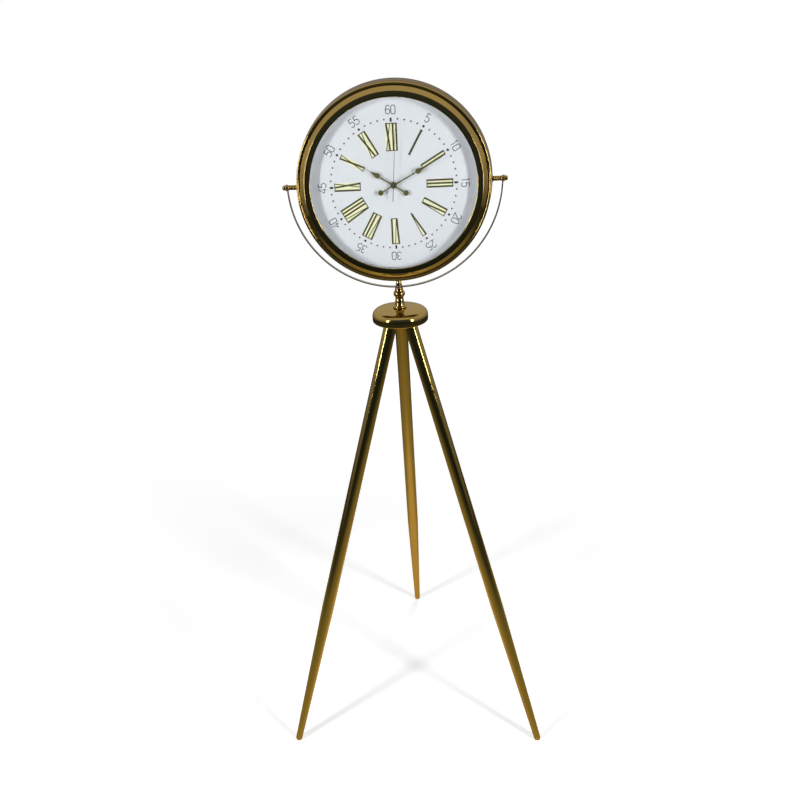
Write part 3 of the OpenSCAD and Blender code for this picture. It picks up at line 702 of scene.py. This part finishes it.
class CLOCK_OT_column(bpy.types.Operator):
    """The turned column and the cone nut on top of the yoke"""

    bl_idname = "clock.column"
    bl_label = "Column"

    def execute(self, context):
        self.column()
        self.cone()
        return {"FINISHED"}

    def column(self):
        low, high = span("column")
        h = (high.z - low.z) / MM
        foot, bun, neck, flare, collar, ball = 15.5, 2.75, 9.4, 1.6, 9.6, 26.7
        ball_z, ball_r, ball_x = h * 0.71, ball / 3, ball / 6
        turn = math.degrees(math.acos((neck - ball_x) / ball_r))
        start, top, steps = 6.2, h * 0.39, 16
        lip, lip_z = 1.2, h - 2.3
        profile = ([(ROD_HOLE, 0), (foot - bun, 0)] + arc(foot - bun, bun, bun, -90, 90, 18)
                   + [(neck + 0.5 + flare * (1 - i / steps) ** 1.5, start + (top - start) * i / steps)
                      for i in range(steps + 1)]
                   + [(neck, top + 1)] + arc(ball_x, ball_z, ball_r, -turn, turn, 32)
                   + [(neck - 0.4, h - 3.6), (collar - lip, h - 3.5)] + arc(collar - lip, lip_z, lip, -90, 90, 12)
                   + [(collar - lip, h - 1), (collar - lip - 0.2, h), (ROD_HOLE, h)])
        piece("turned_column", "stand", "polished_brass", spun(profile, upright(low.z), 96), ("column",), crisp=28)

    def cone(self):
        low, high = span("cone_nut")
        h = (high.z - low.z) / MM
        bore_top, rim, edge = h - 2.5, 6.4, 0.8
        profile = ([(0, bore_top), (ROD_HOLE, bore_top), (ROD_HOLE, 0), (rim + 0.2, 0)]
                   + arc(rim, edge, edge, -80, 60, 6) + [(6.8, 2.4), (5.9, h - 3)]
                   + arc(3.6, h - 2, 2.0, 10, 90, 8) + [(0, h)])
        cone = spun(profile, upright(low.z), 64, closed=False)
        piece("domed_cone", "stand", "polished_brass", cone, ("cone_nut",), crisp=28)


# Yoke and pivots

# Radius of the yoke's and the knobs' hole for a pivot rod, in millimetres
PIN_HOLE = 2.56


def ring_profile(hole, r, low, high, edge=0.5):
    """The profile of a thick washer whose outer edges are eased."""
    return [(hole, low), (r - edge, low), (r, low + edge), (r, high - edge), (r - edge, high), (hole, high)]


class CLOCK_OT_yoke(bpy.types.Operator):
    """The half ring of flat strip with its pad and eyes"""

    bl_idname = "clock.yoke"
    bl_label = "Yoke"

    def execute(self, context):
        ring, width, thick, eye, pad, steps = 230.0, 10.0, 2.5, 7.0, 3.5, 180
        w, t = width / 2, thick / 2
        section = eased([(-w, -t), (w, -t), (w, t), (-w, t)], 0.55, 3)
        bm = bmesh.new()
        rows = []
        for i in range(steps + 1):
            a = math.pi + math.pi * i / steps
            rows.append([bm.verts.new(PIN + Vector(((ring + out) * math.cos(a), across,
                                                    (ring + out) * math.sin(a))) * MM)
                         for across, out in section])
        skin(bm, rows)
        for side in (-1, 1):
            turned(bm, ring_profile(PIN_HOLE, eye, ring - t, ring + t), pivot(side), 64)
        turned(bm, ring_profile(ROD_HOLE + 0.01, eye, -pad / 2, pad / 2),
               Matrix.Translation(PIN - Vector((0, 0, ring * MM))), 64)
        piece("half_ring", "yoke_ring", "yoke_brass", bm, ("yoke",))
        return {"FINISHED"}


def bead_run():
    """Where the beads start and end along a pivot, in millimetres."""
    back = pivot(1).inverted()
    heights = [(back @ v.co).z for v in frame["nodes"]["beaded_spacers"].data.vertices]
    return min(z for z in heights if z > 0) / MM, max(heights) / MM


class CLOCK_OT_pivots(bpy.types.Operator):
    """The strings of beads and the clamp knobs"""

    bl_idname = "clock.pivots"
    bl_label = "Beads and knobs"

    def execute(self, context):
        self.beads()
        for name, body, side in (("clamp_knob_left", "left_knob", -1), ("clamp_knob_right", "right_knob", 1)):
            self.knob(name, body, side)
        return {"FINISHED"}

    def beads(self):
        start, end = bead_run()
        count, r = 4, span("beaded_spacers", pivot(1))[1].x / MM
        pitch = (end - start) / count
        neck, bead = 0.78 * r, pitch / 2
        sweep = math.degrees(math.acos((neck - (r - bead)) / bead))
        hole = PIN_HOLE - 0.01
        profile = [(hole, start), (neck, start)]
        for i in range(count):
            profile += arc(r - bead, start + (i + 0.5) * pitch, bead, -sweep, sweep, 14)
        profile += [(neck, end), (hole, end)]
        bm = bmesh.new()
        for side in (-1, 1):
            turned(bm, profile, pivot(side), 64)
        piece("turned_beads", "head", "polished_brass", bm, ("beaded_spacers",), crisp=30)

    def knob(self, name, body, side):
        low, high = span(name, pivot(side))
        start, end = low.z / MM, high.z / MM
        rim, edge, dome = 6.3, 1.2, 4.0
        profile = ([(0, end - 2), (PIN_HOLE, end - 2), (PIN_HOLE, start), (rim + 0.3, start)]
                   + arc(rim, start + 1.3, edge, -80, 90, 10) + [(5.3, start + 2.7), (5.35, start + 3.2)]
                   + arc(1.5, end - dome, dome, 0, 90, 16) + [(0, end)])
        knob = spun(profile, pivot(side), 64, closed=False)
        piece(name + "_turned", body, "polished_brass", knob, (name,), crisp=28)


# Clock head

# The drum's own sizes in millimetres, as in the solids
DRUM_FRONT, DRUM_BACK, FRONT_R, BACK_R, DRUM_WALL = 45.0, 21.0, 201.5, 210.5, 1.2


class CLOCK_OT_case(bpy.types.Operator):
    """The drum and the bezel"""

    bl_idname = "clock.case"
    bl_label = "Drum and bezel"

    def execute(self, context):
        self.drum()
        self.bezel()
        return {"FINISHED"}

    def drum(self):
        corner, flange = 5.0, BACK_R - 22
        bend_r, bend_z = BACK_R - corner, corner - DRUM_BACK
        outer = ([(flange, -DRUM_BACK)] + arc(bend_r, bend_z, corner, -90, -4, 14)
                 + [(FRONT_R + 0.15, DRUM_FRONT - 1.0), (FRONT_R - 0.1, DRUM_FRONT)])
        inner = ([(FRONT_R - DRUM_WALL, DRUM_FRONT), (BACK_R - DRUM_WALL, bend_z)]
                 + arc(bend_r, bend_z, corner - DRUM_WALL, 0, -90, 10) + [(flange, DRUM_WALL - DRUM_BACK)])
        bm = spun(outer + inner, HEAD, 288)
        hole, boss_r, boss, edge, end = PIN_HOLE - 0.01, 8.0, 4.2, 0.4, bead_run()[0] - 0.05
        for side in (-1, 1):
            turned(bm, [(hole, end - boss), (boss_r, end - boss), (boss_r, end - edge), (boss_r - edge, end),
                        (hole, end)], pivot(side), 64)
        piece("spun_drum", "head", "polished_brass", bm, ("case_drum",), look="drum_bronze")

    def bezel(self):
        opening, face, rise, bead, skirt_depth = 173.5, 12.5, 11.0, 3.0, 8.0
        top, out, front = DRUM_FRONT + rise, opening + face, DRUM_FRONT
        glass, glass_r = top - 2, 183.0
        bead_x, bead_z = FRONT_R - 1.8, front + bead + 0.4
        skirt = FRONT_R - DRUM_WALL - 0.05
        # Each corner of the face is eased by a few short steps
        opening_edge = [(0, -1.4), (0.3, -0.6), (0.9, -0.15), (1.6, -0.02), (3, 0)]
        outer_edge = [(-1.2, 0), (-0.5, -0.12), (0, -0.5), (0.6, -1.3)]
        profile = ([(opening, glass)] + [(opening + x, top + z) for x, z in opening_edge]
                   + [(out + x, top + z) for x, z in outer_edge]
                   + [(bead_x - bead - 1.1, bead_z + 0.6), (bead_x - bead - 0.4, bead_z + 0.2)]
                   + arc(bead_x, bead_z, bead, 176, -42, 30)
                   + [(FRONT_R - 0.1, front + 0.6), (FRONT_R - 0.1, front + 0.1), (skirt, front + 0.1),
                      (skirt, front - skirt_depth), (skirt - 1.2, front - skirt_depth), (skirt - 1.2, front + 1.4),
                      (bead_x - bead - 1.8, bead_z - 0.6), (out - 0.2, glass - 0.4), (glass_r + 1, glass - 0.6),
                      (glass_r + 0.6, glass)])
        piece("polished_bezel", "head", "dark_brass", spun(profile, HEAD, 288), ("bezel",), crisp=30)


class CLOCK_OT_back_details(bpy.types.Operator):
    """The back screws with their cross recesses and the ribbed setting knob"""

    bl_idname = "clock.back_details"
    bl_label = "Back screws and setting knob"

    def execute(self, context):
        self.screws()
        self.knob()
        return {"FINISHED"}

    def screws(self):
        head, shank, tall, rim, edge, arm, slot, deep, over = 3.2, 1.4, 2.0, 1.3, 0.1, 1.5, 0.36, 1.1, 1.0
        low, high = (corner.z / MM for corner in span("back_screws", HEAD))
        profile = ([(0, high), (shank, high), (shank, low + tall), (head, low + tall), (head - edge, low + rim)]
                   + oval(0, low + rim, head - 3 * edge, rim, -8, -86, 10) + [(0, low)])
        cross = [(slot, slot), (slot, arm), (-slot, arm), (-slot, slot), (-arm, slot), (-arm, -slot),
                 (-slot, -slot), (-slot, -arm), (slot, -arm), (slot, -slot), (arm, -slot), (arm, slot)]
        heads, recesses = bmesh.new(), bmesh.new()
        for centre in self.screw_places(high * MM):
            place = HEAD @ Matrix.Translation(centre)
            turned(heads, profile, place, 36, closed=False)
            plate(recesses, cross, place, low - over, low + deep)
        screws = bpy.data.objects.new("screw_heads", finished("screw_heads", heads))
        cutter = bpy.data.objects.new("recesses", finished("recesses", recesses))
        for made in (screws, cutter):
            bpy.context.scene.collection.objects.link(made)
        cut = screws.modifiers.new("recesses", "BOOLEAN")
        cut.object = cutter
        cut.solver = "EXACT"
        mesh = evaluated_mesh(screws)
        for made in (screws, cutter):
            bpy.data.objects.remove(made)
        mesh.set_sharp_from_angle(angle=math.radians(30))
        piece("cross_screws", "head", "plain_steel", mesh, ("back_screws",))

    def screw_places(self, end):
        """The middle of each shank's end in the head's frame."""
        apart, same_plane = 0.01, 1e-5
        back = HEAD.inverted()
        groups = []
        for v in frame["nodes"]["back_screws"].data.vertices:
            p = back @ v.co
            if p.z < end - same_plane:
                continue
            near = next((g for g in groups if (g[0] - p).length < apart), None)
            if near:
                near.append(p)
            else:
                groups.append([p])
        for group in groups:
            xs, ys = [p.x for p in group], [p.y for p in group]
            yield Vector(((min(xs) + max(xs)) / 2, (min(ys) + max(ys)) / 2, 0))

    def knob(self):
        radius, rib, ribs, steps, pin, disc, edge, sunk = 6.0, 0.35, 24, 8, 1.5, 2.9, 0.4, 0.1
        low, high = span("setting_knob", HEAD)
        bottom, top = low.z / MM, high.z / MM
        place = HEAD @ Matrix.Translation(((low.x + high.x) / 2, (low.y + high.y) / 2, 0))
        outline = []
        for i in range(ribs * steps):
            a = 2 * math.pi * i / (ribs * steps)
            r = radius - rib * 0.5 * (1 - math.cos(ribs * a))
            outline.append((r * math.cos(a), r * math.sin(a)))
        bm = bmesh.new()
        turn_over = Matrix.Translation((0, 0, 2 * (bottom + disc / 2) * MM)) @ Matrix.Rotation(math.pi, 4, "X")
        plate(bm, outline, place @ turn_over, bottom, bottom + disc, edge)
        foot = bottom + disc - sunk
        turned(bm, [(0, foot), (pin, foot), (pin, top), (0, top)], place, 24, closed=False)
        piece("ribbed_knob", "time_knob", "black_plastic", bm, ("setting_knob",))


# Dial print

class CLOCK_OT_dial_print(bpy.types.Operator):
    """Minute dots, ticks, minute numbers and hour numerals on the dial"""

    bl_idname = "clock.dial_print"
    bl_label = "Dial print"

    def execute(self, context):
        sizes = context.scene.clock_sizes
        self.face = span("dial", HEAD)[1].z / MM
        self.top = self.face + sizes.print_height
        self.dots(sizes)
        self.numbers(sizes)
        self.numerals(sizes)
        return {"FINISHED"}

    def at(self, minute):
        """The dial's plane turned to a minute, with +Y outwards."""
        return HEAD @ Matrix.Rotation(-math.radians(minute * 6), 4, "Z")

    def dots(self, sizes):
        tree = dot_ring_tree()
        carrier = bpy.data.objects.new("minute_dots", bpy.data.meshes.new("minute_dots"))
        bpy.context.scene.collection.objects.link(carrier)
        modifier = carrier.modifiers.new("dots", "NODES")
        modifier.node_group = tree
        given = {"Ring Radius": sizes.dot_circle * MM, "Dot Radius": sizes.dot_size / 2 * MM,
                 "Big Dot Radius": sizes.big_dot_size / 2 * MM, "Height": sizes.print_height * MM,
                 "Material": finish("print_black")}
        for item in tree.interface.items_tree:
            if item.name in given:
                modifier[item.identifier] = given[item.name]
        mesh = evaluated_mesh(carrier)
        bpy.data.objects.remove(carrier)
        if not mesh.vertices:
            raise RuntimeError("the minute dots came out empty")
        mesh.transform(HEAD @ Matrix.Translation((0, 0, self.face * MM)))
        piece("minute_dot_ring", "head", "dial_white", mesh, look="print_black")

    def numbers(self, sizes):
        bm = bmesh.new()
        height = sizes.number_height
        pitch, width = height * 0.66, height * 0.52
        for minute in range(5, 65, 5):
            text = str(minute)
            for i, digit in enumerate(text):
                shift = (i - (len(text) - 1) / 2) * pitch
                for stroke in DIGITS[digit]:
                    line = [((x - 0.5) * width + shift, (y - 0.5) * height + sizes.number_circle) for x, y in stroke]
                    ribbon(bm, line, sizes.number_line, self.at(minute), self.face, self.top)
        half, inner, outer = sizes.tick_width / 2, sizes.dot_circle - 5.5, sizes.dot_circle + 2.5
        for quarter in (0, 15, 30, 45):
            tick = [(-half, inner), (half, inner), (half, outer), (-half, outer)]
            plate(bm, tick, self.at(quarter), self.face, self.top)
        piece("minute_numbers", "head", "dial_white", bm, look="print_black")

    def numerals(self, sizes):
        strokes, fills = bmesh.new(), bmesh.new()
        for hour, text in enumerate(("XII", "I", "II", "III", "IV", "V", "VI", "VII", "VIII", "IX", "X", "XI")):
            lines, ground = roman(text, sizes.numeral_inner, sizes.numeral_outer)
            for outline in lines:
                plate(strokes, outline, self.at(hour * 5), self.face, self.top)
            plate(fills, ground, self.at(hour * 5), self.face, self.top - sizes.print_height / 2)
        piece("hour_numerals", "head", "dial_white", strokes, look="numeral_olive")
        piece("numeral_grounds", "head", "dial_white", fills, look="numeral_gold")


def dot_ring_tree():
    """Geometry Nodes: a dot at each minute but the quarters, larger at each fifth."""
    tree = bpy.data.node_groups.new("dot_ring", "GeometryNodeTree")
    for name in ("Ring Radius", "Dot Radius", "Big Dot Radius", "Height"):
        tree.interface.new_socket(name=name, in_out="INPUT", socket_type="NodeSocketFloat")
    tree.interface.new_socket(name="Material", in_out="INPUT", socket_type="NodeSocketMaterial")
    tree.interface.new_socket(name="Geometry", in_out="OUTPUT", socket_type="NodeSocketGeometry")
    n = Nodes(tree)
    given = n.add("NodeGroupInput").outputs
    minute = n.add("GeometryNodeInputIndex").outputs[0]
    off_fifths = n.math("GREATER_THAN", n.math("MODULO", minute, 5), 0.5)
    off_quarters = n.math("GREATER_THAN", n.math("MODULO", minute, 15), 0.5)
    radius = n.add("GeometryNodeSwitch")
    radius.input_type = "FLOAT"
    for key, value in (("Switch", off_fifths), ("False", given["Big Dot Radius"]), ("True", given["Dot Radius"])):
        n.give(radius.inputs[key], value)
    r = radius.outputs["Output"]
    ring = n.add("GeometryNodeMeshCircle", Vertices=60, Radius=given["Ring Radius"])
    dot = n.add("GeometryNodeMeshCylinder", Vertices=28, Radius=1.0, Depth=given["Height"])
    size = n.add("ShaderNodeCombineXYZ", X=r, Y=r, Z=1.0)
    place = n.add("GeometryNodeInstanceOnPoints", Points=ring.outputs["Mesh"], Selection=off_quarters,
                  Instance=dot.outputs["Mesh"], Scale=size.outputs["Vector"])
    real = n.add("GeometryNodeRealizeInstances", Geometry=place.outputs["Instances"])
    up = n.add("ShaderNodeCombineXYZ", Z=n.math("MULTIPLY", given["Height"], 0.5))
    lift = n.add("GeometryNodeTransform", Geometry=real.outputs["Geometry"], Translation=up.outputs["Vector"])
    paint = n.add("GeometryNodeSetMaterial", Geometry=lift.outputs["Geometry"], Material=given["Material"])
    n.add("NodeGroupOutput", Geometry=paint.outputs["Geometry"])
    return tree


# Digits as lines in a box of 1 by 1
DIGITS = {
    "0": [eased([(0.5, 0), (1, 0), (1, 1), (0, 1), (0, 0)], 0.4, 8) + [(0.5, 0)]],
    "1": [[(0.30, 0.80), (0.62, 1.0), (0.62, 0.0)]],
    "2": [oval(0.5, 0.70, 0.48, 0.30, 170, -30, 14) + [(0.02, 0.0), (1.0, 0.0)]],
    "3": [oval(0.48, 0.76, 0.44, 0.24, 150, -80, 14) + oval(0.46, 0.27, 0.54, 0.27, 80, -155, 16)],
    "4": [[(0.76, 0.0), (0.76, 1.0), (0.0, 0.28), (1.0, 0.28)]],
    "5": [[(0.92, 1.0), (0.14, 1.0), (0.08, 0.56)] + oval(0.48, 0.31, 0.52, 0.31, 118, -150, 18)],
    "6": [[(0.90, 0.90), (0.72, 1.0)] + arc(0.5, 0.5, 0.5, 95, 180, 8) + oval(0.5, 0.30, 0.5, 0.30, 180, 540, 28)],
}


def ribbon(bm, line, width, place, low, high):
    """A flat line of even width along points, closed if its ends meet."""
    points = [Vector(p) for p in line]
    loop = (points[0] - points[-1]).length < 1e-6
    if loop:
        points.pop()
    count = len(points)
    rows = []
    for i, p in enumerate(points):
        before = points[i - 1] if loop or i else p
        after = points[(i + 1) % count] if loop or i < count - 1 else p
        a = (p - before).normalized() if (p - before).length else (after - p).normalized()
        b = (after - p).normalized() if (after - p).length else a
        way = (a + b).normalized() if (a + b).length > 1e-6 else a
        side = Vector((-way.y, way.x))
        reach = side * width / 2 / max(0.5, side.dot(Vector((-a.y, a.x))))
        rows.append([bm.verts.new(place @ Vector((q.x * MM, q.y * MM, z * MM)))
                     for z, q in ((low, p + reach), (high, p + reach), (high, p - reach), (low, p - reach))])
    skin(bm, rows, loop)


def roman(text, low, high):
    """Strokes and pale ground of an hour numeral between two radii, its ends joined by thin bars."""
    thick, thin, bar, gap, point, overlap = 3.6, 1.7, 1.8, 3.2, 1.7, 0.03
    serif = 0.05
    if text == "I":
        thick, serif = 4.4, 0.9
    widths = {"I": thick, "V": 10.8, "X": 10.6}
    half = (sum(widths[c] for c in text) + gap * (len(text) - 1)) / 2
    foot_low, foot_high = -half, half
    strokes = []

    def stroke(foot, top, width):
        w = width / 2
        strokes.append([(foot - w, low), (foot + w, low), (top + w, high), (top - w, high)])

    x = -half
    for i, c in enumerate(text):
        left, right = x, x + widths[c]
        middle = (left + right) / 2
        if c == "I":
            stroke(middle, middle, thick)
        elif c == "V":
            stroke(middle, left + thick / 2, thick)
            stroke(middle + point - thin / 2, right - thin / 2, thin)
            if i == 0:
                foot_low = middle - point
            if i == len(text) - 1:
                foot_high = middle + point
        else:
            stroke(right - thick / 2, left + thick / 2, thick)
            stroke(left + thin / 2, right - thin / 2, thin)
        x = right + gap
    for left, right, inner, outer in ((-half, half, high - bar, high + overlap),
                                      (foot_low, foot_high, low - overlap, low + bar)):
        left, right = left - serif, right + serif
        strokes.append([(left, inner), (right, inner), (right, outer), (left, outer)])
    return strokes, [(foot_low, low), (foot_high, low), (half, high), (-half, high)]


# Finishes on the remaining CAD nodes

class CLOCK_OT_finishes(bpy.types.Operator):
    """Gives each CAD node that stays in view its finish"""

    bl_idname = "clock.finishes"
    bl_label = "Finishes"

    def execute(self, context):
        slots = {s["node"]: s["material_slot"] for s in frame["record"]["subparts"]}
        for name, node in frame["nodes"].items():
            made = finish(slots[name])
            if not node.material_slots:
                node.data.materials.append(made)
            for place in node.material_slots:
                place.material = made
        return {"FINISHED"}


STEPS = (CLOCK_OT_stage, CLOCK_OT_finishes, CLOCK_OT_legs, CLOCK_OT_hub, CLOCK_OT_column, CLOCK_OT_yoke,
         CLOCK_OT_pivots, CLOCK_OT_case, CLOCK_OT_back_details, CLOCK_OT_dial_print)


class CLOCK_PT_panel(bpy.types.Panel):
    """Sizes, finishes and steps of the clock"""

    bl_idname = "CLOCK_PT_panel"
    bl_label = "Tripod floor clock"
    bl_space_type = "VIEW_3D"
    bl_region_type = "UI"
    bl_category = "Clock"

    def draw(self, context):
        layout = self.layout
        for group in (context.scene.clock_sizes, context.scene.clock_finish, context.scene.clock_stage):
            box = layout.box()
            for name in group.__annotations__:
                box.prop(group, name)
        for step in STEPS:
            layout.operator(step.bl_idname)


GROUPS = (("clock_sizes", ClockSizes), ("clock_finish", ClockFinish), ("clock_stage", ClockStage))


def register():
    for name, group in GROUPS:
        bpy.utils.register_class(group)
        setattr(bpy.types.Scene, name, PointerProperty(type=group))
    for step in STEPS:
        bpy.utils.register_class(step)
    bpy.utils.register_class(CLOCK_PT_panel)


def unregister():
    bpy.utils.unregister_class(CLOCK_PT_panel)
    for step in reversed(STEPS):
        bpy.utils.unregister_class(step)
    for name, group in reversed(GROUPS):
        delattr(bpy.types.Scene, name)
        bpy.utils.unregister_class(group)


def main():
    register()
    for step in STEPS:
        area, action = step.bl_idname.split(".")
        getattr(getattr(bpy.ops, area), action)()


if __name__ == "__main__":
    main()
